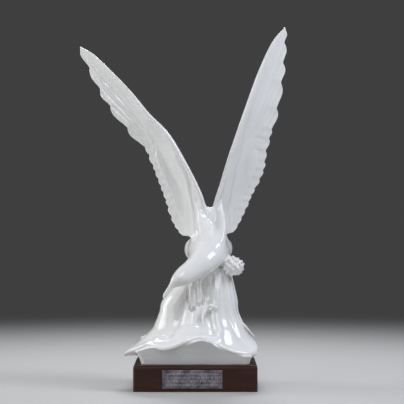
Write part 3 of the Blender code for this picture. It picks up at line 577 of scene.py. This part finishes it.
# Strokes of the modelling tool
# A stroke's points are where it shows in the reference picture, in its pixels, and the tool
# reaches the clay along the line of sight. Heights and widths are in millimetres.
strokeKinds = {
    # each bead of clay: height, shift to the right of the stroke, width on its left, on its right
    "feather": [(0.90, 0.0, 4.2, 1.0), (-0.80, 2.4, 1.2, 2.0)],
    "ridge": [(0.80, 0.0, 1.6, 1.6)],
    "softRidge": [(0.90, 0.0, 3.2, 3.2)],
    "crease": [(-0.80, 0.0, 1.2, 1.2)],
    "thinRidge": [(0.60, 0.0, 0.95, 0.95)],
    "fold": [(0.80, 1.6, 1.1, 2.6), (-1.00, -0.9, 2.6, 1.0)],
    "hollow": [(-1.30, 0.0, 5.0, 5.0)],
    "deep": [(-3.00, 0.0, 4.5, 4.5)],
    "groove": [(-2.00, 0.0, 1.7, 1.7)],
}
frontStrokes = [
    # left wing, long feathers from their ends to the wrist
    ("feather", 1.00, [(82.8, 53.3), (89.9, 62.1), (97.1, 69.3), (106.7, 80.5), (114.7, 89.2), (121, 96.4),
                       (129, 106), (135.4, 113.1), (141.8, 121.1), (147, 129)]),
    ("feather", 1.00, [(88.6, 67.5), (93.9, 77.3), (98.7, 82), (104.3, 87.6), (111.5, 95.6), (117, 101.2),
                       (124.2, 108.4), (130.6, 115.5), (136.2, 121.1), (142, 129)]),
    ("feather", 0.90, [(98.6, 88.8), (104.3, 94), (109.9, 101.2), (117.8, 108.4), (125.8, 116.3),
                       (133, 123.5), (139, 131)]),
    ("feather", 0.80, [(109.6, 106.5), (117.8, 114.7), (125.8, 121.9), (133.8, 129.9), (140.2, 136.3)]),
    ("feather", 0.55, [(127.4, 128.8), (133.8, 134.5), (139, 140.5), (143.5, 146)]),
    # left wing, edge of the folded arm
    ("crease", 0.75, [(124, 89), (128, 94), (133.8, 101.2), (141.8, 109.2), (149.7, 117.9), (161.5, 132.4),
                      (170.1, 147), (177, 158.2)]),
    ("ridge", 0.6, [(163.5, 132.4), (172.1, 147), (179, 157.2), (182.6, 162.5)]),
    ("fold", 1.00, [(172, 150), (177, 158.2), (183, 168.6), (187, 178.9), (189.5, 190.1), (191.7, 201.3),
                    (193.8, 213.4), (194.7, 226.3), (195.1, 240)]),
    ("softRidge", 1.00, [(141.7, 126.4), (148.6, 135), (153.8, 146.2), (158.1, 159.1), (162.4, 172.9),
                         (166.7, 184.9), (170.1, 195.3), (174.5, 206.5), (177, 217)]),
    ("hollow", 1.50, [(152, 140), (158, 150), (167, 170), (176, 187), (182, 203), (185, 220)]),
    # right wing, long feathers from the wrist to their ends
    ("feather", 0.50, [(253, 132), (258, 118), (264, 102), (270, 86), (275.5, 70), (280, 55), (284, 43.5)]),
    ("feather", 0.50, [(258.5, 126), (264, 112), (269.6, 98), (275, 84), (279.5, 72), (282.9, 63)]),
    ("feather", 0.50, [(262, 126), (268, 113.5), (273, 102), (277.8, 91), (281, 83.8)]),
    ("feather", 0.45, [(262.5, 133), (267.5, 124), (272, 116), (275.8, 109.3)]),
    ("feather", 0.35, [(261, 145), (266, 137), (270.8, 130)]),
    # right wing, the folded arm
    ("hollow", 0.85, [(239, 122), (237.5, 132), (235.1, 151.9), (231.1, 161.5), (226.3, 175.8),
                      (222.3, 191.8), (218.3, 207.7), (216.5, 223.7)]),
    ("ridge", 1.10, [(243, 120), (241.5, 139.9), (237.5, 158.3), (234.3, 167.8), (231.9, 179.8),
                     (229.5, 193.4), (226.3, 206.1), (223.9, 219.7), (223.1, 235.6), (220.2, 244)]),
    ("crease", 1.10, [(236.2, 171), (235.1, 177.4), (232.3, 190.2), (229.5, 202.1), (227.9, 211.7),
                      (229.1, 219.7), (229.9, 230.8), (230, 240)]),
    ("softRidge", 0.55, [(251.5, 174), (249.4, 190.2), (247.8, 194.2), (243.1, 203.7), (238.3, 214.1),
                         (234.3, 225.3)]),
    ("softRidge", 0.5, [(251, 138), (248, 148), (244, 160), (241.5, 168)]),
    ("hollow", 0.90, [(249, 152), (246.5, 170), (243, 188), (238.5, 204)]),
    # head
    ("hollow", 0.9, [(166, 290), (171, 287), (176, 285.5), (182, 283.5), (188, 281)]),
    ("crease", 0.7, [(164.5, 296), (167.5, 291.5), (171, 287.5), (175.5, 283.5)]),
    # breast
    ("ridge", 0.9, [(208.7, 209), (208.3, 220), (207.6, 233)]),
    ("hollow", 0.6, [(200.5, 206), (203, 219), (205, 236)]),
    ("ridge", 1.0, [(192.5, 196), (196, 203), (199.4, 213.4), (202.4, 224), (203.5, 235)]),
    ("hollow", 0.8, [(214, 213), (216.5, 224), (219, 236)]),
    ("ridge", 0.5, [(216.8, 240.8), (219.8, 244.2), (223.4, 237)]),
    # falling water in front
    ("deep", 0.9, [(204, 274), (205, 284), (206, 294), (206.5, 304)]),
    ("groove", 1.2, [(187.2, 283), (187, 294), (188.2, 305), (191.5, 311), (195, 309)]),
    ("groove", 1.2, [(196.2, 283), (196.4, 295), (197, 304), (200, 307)]),
    ("groove", 1.2, [(202.6, 279), (203.4, 290), (203.2, 299), (201, 306)]),
    ("hollow", 1.0, [(188.8, 298), (188.8, 307.2), (188.4, 316), (184.6, 328.3), (179.2, 343.6)]),
    ("ridge", 0.9, [(182.2, 297), (180.4, 305), (178.2, 312)]),
    ("thinRidge", 1.2, [(210.4, 283), (211.8, 295), (213, 305)]),
    ("thinRidge", 1.0, [(208.2, 285), (208.9, 296), (209.5, 304)]),
    ("crease", 1.5, [(212, 273), (213.4, 285), (214.6, 296), (215.7, 308)]),
    ("ridge", 1.3, [(214.8, 271), (216, 282), (217.2, 295), (218, 309)]),
    ("thinRidge", 1.0, [(217.7, 286), (221, 294.6), (224.3, 302.5)]),
    ("thinRidge", 0.7, [(220, 285), (223, 293), (225.6, 299)]),
    ("thinRidge", 1.0, [(225.6, 301), (225.5, 311)]),
    ("crease", 0.9, [(230.9, 278), (230.9, 286.7), (232.3, 298), (234.5, 310), (239, 322)]),
    ("crease", 0.9, [(235.6, 303), (239, 314), (243.5, 324), (250.5, 333.5)]),
    # curl and pillow of the rim on the left
    ("ridge", 1.2, [(153.5, 335.6), (161, 336.4), (167.7, 335.9), (173, 331.5)]),
    ("crease", 1.0, [(150, 338.4), (158, 339.2), (167.7, 338.6), (174, 335)]),
    ("ridge", 0.8, [(152, 341.6), (160, 342), (168, 340.9)]),
]
# feather edges reach the upper side of the wings too
backStrokes = [stroke for stroke in frontStrokes if stroke[0] == "feather"]
mmPerPixel = 1.37       # in the reference picture
toolStrength = 1.4
backShare = 0.8         # of that, on the upper side


def toPicture(places):
    # where the viewer's picture shows each place
    offset = places - np.array(viewer["place"])
    scale = viewer["picture"] * viewer["lens"] / viewer["sensor"] / offset[:, 1]
    middle = viewer["picture"] / 2
    return np.column_stack([middle + offset[:, 0] * scale, middle - offset[:, 2] * scale])


def strokeLift(spots, kind, path):
    # height that a stroke adds at each spot, in mm
    beads = strokeKinds[kind]
    line = alongCurve(path, np.linspace(0, 1, 8 * len(path)))
    best, side, share = np.full(len(spots), 1e9), np.zeros(len(spots)), np.zeros(len(spots))
    for k in range(len(line) - 1):
        step = line[k + 1] - line[k]
        away = spots - line[k]
        u = np.clip(away @ step / (step @ step), 0, 1)
        gap = away - u[:, None] * step
        far = np.hypot(gap[:, 0], gap[:, 1])
        closer = far < best
        best[closer] = far[closer]
        side[closer] = np.sign(step[0] * away[closer, 1] - step[1] * away[closer, 0])
        share[closer] = (k + u[closer]) / (len(line) - 1)
    signed = best * side * mmPerPixel
    lift = np.zeros(len(spots))
    for high, shift, left, right in beads:
        apart = signed - shift
        wide = np.where(apart < 0, left, right)
        lift += high * np.exp(-(apart / wide) ** 2)
    beyond = np.where((share <= 0) | (share >= 1), np.exp(-(best * mmPerPixel / 1.5) ** 2), 1)
    fade = 0.40 if kind in ("hollow", "deep") else 0.14
    return lift * beyond * smoothStep(share, -0.02, fade) * smoothStep(1 - share, -0.02, fade)


def workStrokes(piece, strokes, facing, strength):
    places, normals = vertexPlaces(piece), vertexNormals(piece)
    spots = toPicture(places)
    lift = np.zeros(len(places))
    turned = smoothStep(normals[:, 1] * facing, 0.22, 0.55)
    for kind, scale, path in strokes:
        room = 9 if kind in ("hollow", "deep") else 7
        low, high = np.min(path, axis=0) - room, np.max(path, axis=0) + room
        near = np.nonzero((turned > 0) & np.all((spots > low) & (spots < high), axis=1))[0]
        lift[near] += strength * scale * strokeLift(spots[near], kind, path) * turned[near]
    a, b = edgeEnds(piece)
    lift = neighbourMean(neighbourMean(lift[:, None], a, b), a, b)[:, 0]
    setPlaces(piece, places + normals * (lift / 1000)[:, None])


# Eyes: share of the spine, turn up from the head's side in degrees, and rings of relief:
# height, distance from the middle and width, in mm
eyes = {"along": 0.615, "up": 24, "rings": [(0.75, 0.0, 1.3), (-0.60, 2.1, 0.7), (0.35, 3.3, 0.8)]}


def workEyes(piece):
    spine = alongCurve(bodySpine, np.array([eyes["along"] - 0.01, eyes["along"], eyes["along"] + 0.01]))
    ahead = Vector(spine[2, :3] - spine[0, :3]).normalized()
    side = ahead.cross(Vector((0, 0, 1))).normalized()
    over = side.cross(ahead)
    up = math.radians(eyes["up"])
    places, normals = vertexPlaces(piece), vertexNormals(piece)
    for hand in (-1, 1):
        out = side * (hand * math.cos(up) * spine[1, 3]) + over * (math.sin(up) * spine[1, 4])
        middle = (spine[1, :3] + np.array(out)) * onePercent + (0, 0, footLow.z)
        far = np.linalg.norm(places - middle, axis=1) * 1000
        lift = sum(high * np.exp(-((far - radius) / wide) ** 2) for high, radius, wide in eyes["rings"])
        places = places + normals * (lift / 1000)[:, None]
    setPlaces(piece, places)


print("working the surface")
workEyes(gull)
workStrokes(gull, frontStrokes, -1, toolStrength)
workStrokes(gull, backStrokes, 1, backShare * toolStrength)

thinned = figure["triangles"] / (2 * len(gull.data.polygons))
addModifier(gull, "thin out", "DECIMATE", {"ratio": thinned})
addModifier(gull, "polish", "SMOOTH", {"factor": 0.5, "iterations": figure["polish"]})
# a block under the foot cuts the underside flat
side, deep = 0.2, 0.05
corners = [(x, y, z) for z in (footLow.z - deep, footLow.z) for y in (-side, side) for x in (-side, side)]
cutter = meshPiece("below_the_foot", corners, [(0, 2, 3, 1), (4, 5, 7, 6), (0, 1, 5, 4), (2, 6, 7, 3),
                                               (0, 4, 6, 2), (1, 3, 7, 5)])
addModifier(gull, "flat underside", "BOOLEAN", {"operation": "DIFFERENCE", "object": cutter})
settle(gull)
bpy.data.objects.remove(cutter)
gull.data.shade_smooth()
print("porcelain has", sum(len(p.vertices) - 2 for p in gull.data.polygons), "triangles")


# Materials
def newMaterial(name):
    material = bpy.data.materials.new(name)
    material.use_nodes = True
    return material, material.node_tree, material.node_tree.nodes["Principled BSDF"]


def fillSockets(tree, node, inputs):
    # a socket takes a value or another node's output
    for name, value in inputs.items():
        if isinstance(value, bpy.types.NodeSocket):
            tree.links.new(value, node.inputs[name])
        else:
            node.inputs[name].default_value = value


def cover(piece, material):
    piece.data.materials.clear()
    piece.data.materials.append(material)


def addNode(tree, kind, inputs=None, settings=None, stops=()):
    # settings are the node's properties, stops the places and colours of a colour ramp
    node = tree.nodes.new(kind)
    for name, value in (settings or {}).items():
        setattr(node, name, value)
    fillSockets(tree, node, inputs or {})
    for k, (place, colour) in enumerate(stops):
        if k >= len(node.color_ramp.elements):
            node.color_ramp.elements.new(0.5)
        node.color_ramp.elements[k].position = place
        node.color_ramp.elements[k].color = hexToLinear(colour)
    return node


# Hard-paste porcelain under a clear fired glaze: bright white, glassy, thin and warm over raised edges,
# and a darker grey-green in hollows that is part glaze pooling there and part painted shade.
glazeFinish = {
    # pooledAndShaded is the darker grey-green for hollows: pooled glaze and painted shade
    "white": "#F1F1EF", "pooledAndShaded": "#D5DBD2", "thin": "#F5F2EC",
    "roughness": 0.09, "ior": 1.50,
    "bodyScatter": 0.06, "scatterTint": (1.0, 0.9, 0.8), "scatterReach": 0.002,     # m
    "waveLength": 22.0,     # mm, slow swell of the glaze
    "waveHeight": 0.05,     # mm
}


def porcelainMaterial():
    material, tree, shader = newMaterial("glazed white porcelain")
    where = addNode(tree, "ShaderNodeTexCoord").outputs["Object"]
    pooledAndShaded = addNode(tree, "ShaderNodeAttribute", None, {"attribute_name": "glaze_pool_and_shade"}).outputs["Fac"]
    # darker grey-green towards the hollows: pooled glaze and painted shade
    tint = addNode(tree, "ShaderNodeValToRGB", {"Fac": pooledAndShaded}, None,
                   [(0.0, glazeFinish["thin"]), (0.42, glazeFinish["white"]),
                    (0.58, glazeFinish["white"]), (1.0, glazeFinish["pooledAndShaded"])])
    swell = addNode(tree, "ShaderNodeTexNoise",
                    {"Vector": where, "Scale": 1000 / glazeFinish["waveLength"], "Detail": 1.0})
    bump = addNode(tree, "ShaderNodeBump",
                   {"Height": swell.outputs["Fac"], "Distance": glazeFinish["waveHeight"] / 1000,
                    "Strength": 1.0})
    fillSockets(tree, shader, {
        "Base Color": tint.outputs["Color"], "Roughness": glazeFinish["roughness"],
        "IOR": glazeFinish["ior"], "Subsurface Weight": glazeFinish["bodyScatter"],
        "Subsurface Radius": glazeFinish["scatterTint"], "Subsurface Scale": glazeFinish["scatterReach"],
        "Normal": bump.outputs["Normal"]})
    return material


def markPoolsAndShade(piece, reach=3.0):
    # how hollow (1) or raised (0) the surface is over a few millimetres; hollows take the darker grey-green
    # of pooled glaze and painted shade
    places, normals = vertexPlaces(piece), vertexNormals(piece)
    a, b = edgeEnds(piece)
    smooth = places
    for _ in range(10):
        smooth = neighbourMean(smooth, a, b)
    hollow = np.einsum("ij,ij->i", smooth - places, normals) * 1000
    level = np.clip(0.5 + hollow / reach, 0, 1)[:, None]
    for _ in range(3):
        level = neighbourMean(level, a, b)
    layer = piece.data.attributes.new("glaze_pool_and_shade", "FLOAT", "POINT")
    layer.data.foreach_set("value", level.ravel().astype(np.float32))


# Mahogany stained dark and lacquered: red-brown, long grain with fine pores, a mirror-like coat.
woodFinish = {
    "dark": "#120602", "middle": "#241006", "light": "#3D1C0A", "pore": "#080301",
    "roughness": 0.42, "shine": 0.3, "coat": 0.15, "coatRoughness": 0.10,
    "grainWidth": 3.2,      # mm between light and dark bands
    "poreWidth": 0.5,       # mm, drawn coarser than the real 0.2 so that it shows
    "poreDepth": 0.08,      # mm
}


def woodMaterial():
    material, tree, shader = newMaterial("lacquered dark mahogany")
    where = addNode(tree, "ShaderNodeTexCoord").outputs["Object"]
    long = addNode(tree, "ShaderNodeMapping", {"Vector": where, "Scale": (0.07, 1.0, 1.0)})
    drift = addNode(tree, "ShaderNodeTexNoise",
                    {"Vector": long.outputs["Vector"], "Scale": 1000 / (6 * woodFinish["grainWidth"]),
                     "Detail": 2.0})
    bands = addNode(tree, "ShaderNodeTexNoise",
                    {"Vector": long.outputs["Vector"], "Scale": 1000 / woodFinish["grainWidth"],
                     "Detail": 4.0, "Roughness": 0.6, "Distortion": 0.4})
    blend = addNode(tree, "ShaderNodeMath", {0: drift.outputs["Fac"], 1: 0.6, 2: bands.outputs["Fac"]},
                    {"operation": "MULTIPLY_ADD"})
    fine = addNode(tree, "ShaderNodeMapping", {"Vector": where, "Scale": (0.04, 1.0, 1.0)})
    pores = addNode(tree, "ShaderNodeTexNoise",
                    {"Vector": fine.outputs["Vector"], "Scale": 1000 / woodFinish["poreWidth"],
                     "Detail": 1.0})
    colour = addNode(tree, "ShaderNodeValToRGB", {"Fac": blend.outputs["Value"]}, None,
                     [(0.45, woodFinish["dark"]), (0.78, woodFinish["middle"]), (1.05, woodFinish["light"])])
    mask = addNode(tree, "ShaderNodeMapRange",
                   {"Value": pores.outputs["Fac"], "From Min": 0.60, "From Max": 0.72})
    # the colour sockets of a mix node are 6, 7 and out 2
    mixed = addNode(tree, "ShaderNodeMix", {"Factor": mask.outputs["Result"], 6: colour.outputs["Color"],
                                            7: hexToLinear(woodFinish["pore"])}, {"data_type": "RGBA"})
    bump = addNode(tree, "ShaderNodeBump",
                   {"Height": pores.outputs["Fac"], "Distance": woodFinish["poreDepth"] / 1000,
                    "Strength": 0.6})
    fillSockets(tree, shader, {
        "Base Color": mixed.outputs[2], "Roughness": woodFinish["roughness"],
        "Coat Weight": woodFinish["coat"], "Specular IOR Level": woodFinish["shine"],
        "Coat Roughness": woodFinish["coatRoughness"], "Normal": bump.outputs["Normal"]})
    return material


# Zinc-toned plate, brushed along its length and a little tarnished: soft streaks, mauve-grey.
plateFinish = {
    "bright": "#A39CA5", "dull": "#5A545E", "roughness": 0.42,
    "cut": "#D8D4DA", "cutRoughness": 0.5,
    "brushWidth": 0.35,     # mm, coarser than real brushing so that it shows
    "brushDepth": 0.03,     # mm
    "tarnish": 9.0,         # mm, size of a tarnished patch
}


# Blackened brass, worn to brown on the heads of the pins.
pinFinish = {"bright": "#4B433C", "dull": "#1E1A18", "roughness": 0.40}


def plateMaterial(name, bright, dull, roughness, metal=1.0):
    material, tree, shader = newMaterial(name)
    where = addNode(tree, "ShaderNodeTexCoord").outputs["Object"]
    patches = addNode(tree, "ShaderNodeTexNoise",
                      {"Vector": where, "Scale": 1000 / plateFinish["tarnish"], "Detail": 5.0,
                       "Roughness": 0.65})
    stretched = addNode(tree, "ShaderNodeMapping", {"Vector": where, "Scale": (0.03, 1.0, 1.0)})
    brushed = addNode(tree, "ShaderNodeTexNoise",
                      {"Vector": stretched.outputs["Vector"], "Scale": 1000 / plateFinish["brushWidth"],
                       "Detail": 2.0})
    both = addNode(tree, "ShaderNodeMath", {0: brushed.outputs["Fac"], 1: 0.35, 2: patches.outputs["Fac"]},
                   {"operation": "MULTIPLY_ADD"})
    tone = addNode(tree, "ShaderNodeValToRGB", {"Fac": both.outputs["Value"]}, None,
                   [(0.50, dull), (0.82, bright)])
    rough = addNode(tree, "ShaderNodeMapRange",
                    {"Value": patches.outputs["Fac"], "To Min": roughness - 0.1, "To Max": roughness + 0.15})
    bump = addNode(tree, "ShaderNodeBump",
                   {"Height": brushed.outputs["Fac"], "Distance": plateFinish["brushDepth"] / 1000,
                    "Strength": 0.7})
    fillSockets(tree, shader, {"Base Color": tone.outputs["Color"], "Metallic": metal,
                               "Roughness": rough.outputs["Result"], "Normal": bump.outputs["Normal"]})
    return material


print("porcelain finish")
markPoolsAndShade(gull)
cover(gull, porcelainMaterial())
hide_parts("porcelain_gull_on_wave")
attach(gull, "root")

print("plinth")
cover(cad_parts["wooden_plinth"], woodMaterial())


# Plate and pins
plateWork = {
    "rows": 4,
    "marks": 34,            # in a row; each of the nine kinds is ticks, dashes or (4) a gap
    # start and end of a tick, as shares of the row's height
    "ticks": {0: [(0, 0.52)], 3: [(0, 0.52)], 8: [(0, 0.52)],
              1: [(0, 0.26), (0.40, 0.52)], 6: [(0, 0.26), (0.40, 0.52)]},
    # height of a dash and its width, as shares of the row's height and a mark's room
    "dashes": {2: [(0.04, 0.62), (0.36, 0.48)], 7: [(0.04, 0.62), (0.36, 0.48)], 5: [(0.22, 0.60)]},
    "margin": 0.0058,       # m, bare metal at the ends
    "markDepth": 0.00025,   # m
    "lineWidth": 0.00075,   # m, width of a cut line
    "edge": 0.0003,         # m, bevel
    "holeRadius": 0.0008,   # m, around a pin
}


def plateMarks(low, high):
    # separate cuts in rows, in no alphabet
    room = (high.z - low.z) * 0.80
    pitch = room / plateWork["rows"]
    cell = (high.x - low.x - 2 * plateWork["margin"]) / plateWork["marks"]
    line = plateWork["lineWidth"]
    boxes = []
    for row in range(plateWork["rows"]):
        middle = (low.z + high.z) / 2 + room / 2 - pitch * (row + 0.5)
        for k in range(plateWork["marks"]):
            pick = (7 * k + 5 * row + k * k) % 9
            x = low.x + plateWork["margin"] + cell * (k + 0.15 + 0.05 * (pick % 3))
            bottom = middle - pitch * 0.24
            for start, end in plateWork["ticks"].get(pick, ()):
                boxes.append((x, bottom + pitch * start, x + line, bottom + pitch * end))
            for up, wide in plateWork["dashes"].get(pick, ()):
                boxes.append((x, bottom + pitch * up, x + cell * wide, bottom + pitch * up + line))
    return boxes


def boxForm(bm, low, high):
    for vert in bmesh.ops.create_cube(bm, size=1.0)["verts"]:
        vert.co = Vector([a + (b - a) * (c + 0.5) for a, b, c in zip(low, high, vert.co)])


def bmeshPiece(name, build):
    mesh = bpy.data.meshes.new(name)
    bm = bmesh.new()
    build(bm)
    bm.to_mesh(mesh)
    bm.free()
    return addItem(name, mesh)


def buildPlate():
    low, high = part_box("engraved_plate")
    pinHoles = [(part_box(pin)[0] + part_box(pin)[1]) / 2 for pin in ("plate_pin_left", "plate_pin_right")]
    holeRadius = plateWork["holeRadius"]

    def slab(bm):
        boxForm(bm, low, high)
        rim = [e for e in bm.edges if all(v.co.y < (low.y + high.y) / 2 for v in e.verts)]
        bmesh.ops.bevel(bm, geom=rim, offset=plateWork["edge"], segments=2, profile=0.5, affect="EDGES")

    def marks(bm):
        for left, bottom, right, top in plateMarks(low, high):
            boxForm(bm, (left, low.y - 0.001, bottom), (right, low.y + plateWork["markDepth"], top))

    def holes(bm):
        for spot in pinHoles:
            made = bmesh.ops.create_cone(bm, segments=24, radius1=holeRadius, radius2=holeRadius,
                                         depth=0.01, cap_ends=True)["verts"]
            for vert in made:
                across, up, deep = vert.co
                vert.co = Vector((spot.x + across, low.y - deep, spot.z + up))

    plate = bmeshPiece("plate_with_marks", slab)
    cover(plate, plateMaterial("brushed tarnished zinc", plateFinish["bright"], plateFinish["dull"],
                               plateFinish["roughness"]))
    cutMetal = plateMaterial("pale polish left in the cuts", plateFinish["cut"], plateFinish["bright"],
                             plateFinish["cutRoughness"], 0.0)
    for name, build in (("marks", marks), ("holes", holes)):
        tool = bmeshPiece(name, build)
        cover(tool, cutMetal)
        addModifier(plate, name, "BOOLEAN",
                    {"operation": "DIFFERENCE", "object": tool, "material_mode": "TRANSFER"})
        settle(plate)
        bpy.data.objects.remove(tool)
    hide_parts("engraved_plate")
    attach(plate, "root")


print("plate and pins")
buildPlate()
pinMetal = plateMaterial("blackened brass pin", **pinFinish)
for name in ("plate_pin_left", "plate_pin_right"):
    cover(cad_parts[name], pinMetal)

# Floor, light, camera
studio = {
    "floor": "#B9B9B6", "floorRoughness": 0.7, "floorRadius": 1.6, "surround": 0.05,
    "drop": 0.0002,         # m, floor below the plinth's underside
    "aim": (0.0, 0.0, 0.22), "distance": 1.9,
    # degrees round to the viewer's right, degrees up, width and height in metres, watts, colour
    "lights": {
        "right window": (74, 42, 0.60, 0.9, 21.0, "#EEF2FF"),
        "front window": (-6, 36, 0.80, 0.8, 13.0, "#F6F8FF"),
        "left window": (-97, 14, 1.00, 1.3, 19.0, "#FFFFFF"),
        "left fill": (-48, 32, 0.90, 0.9, 4.0, "#FFFFFF"),
        "rear window": (180, 42, 0.90, 0.7, 20.0, "#F6F8FF"),
    },
}


def buildStudio():
    scene = bpy.context.scene
    radius, around = studio["floorRadius"], 96
    turn = fullTurn(around)
    edge = np.column_stack([radius * np.cos(turn), radius * np.sin(turn), 0 * turn - studio["drop"]])
    floor = meshPiece("floor", edge, [list(range(around))])
    material, tree, shader = newMaterial("plain pale studio floor")
    where = addNode(tree, "ShaderNodeTexCoord").outputs["Object"]
    far = addNode(tree, "ShaderNodeVectorMath", {0: where}, {"operation": "LENGTH"})
    fade = addNode(tree, "ShaderNodeMapRange",
                   {"Value": far.outputs["Value"], "From Min": 0.25, "From Max": radius * 0.95,
                    "To Min": 1.0, "To Max": 0.0}, {"interpolation_type": "SMOOTHERSTEP"})
    fillSockets(tree, shader, {"Base Color": hexToLinear(studio["floor"]),
                               "Roughness": studio["floorRoughness"], "Alpha": fade.outputs["Result"]})
    cover(floor, material)

    world = bpy.data.worlds.new("plain surround")
    world.use_nodes = True
    level = studio["surround"]
    world.node_tree.nodes["Background"].inputs["Color"].default_value = (level, level, level * 1.01, 1.0)
    scene.world = world

    aim = Vector(studio["aim"])
    for name, (bearing, up, wide, tall, watts, colour) in studio["lights"].items():
        turn, rise = math.radians(bearing), math.radians(up)
        away = Vector((math.sin(turn) * math.cos(rise), -math.cos(turn) * math.cos(rise), math.sin(rise)))
        lamp = bpy.data.lights.new(name, "AREA")
        lamp.shape = "RECTANGLE"
        lamp.size, lamp.size_y, lamp.energy = wide, tall, watts
        lamp.color = hexToLinear(colour)[:3]
        item = addItem(name, lamp)
        item.location = aim + away * studio["distance"]
        item.rotation_euler = (-away).to_track_quat("-Z", "Y").to_euler()

    camera = bpy.data.cameras.new("camera")
    camera.lens, camera.sensor_width = viewer["lens"], viewer["sensor"]
    item = addItem("camera", camera)
    item.location = viewer["place"]
    item.rotation_euler = (math.radians(90), 0, 0)
    scene.camera = item
    scene.view_settings.view_transform = "Standard"


print("studio")
buildStudio()
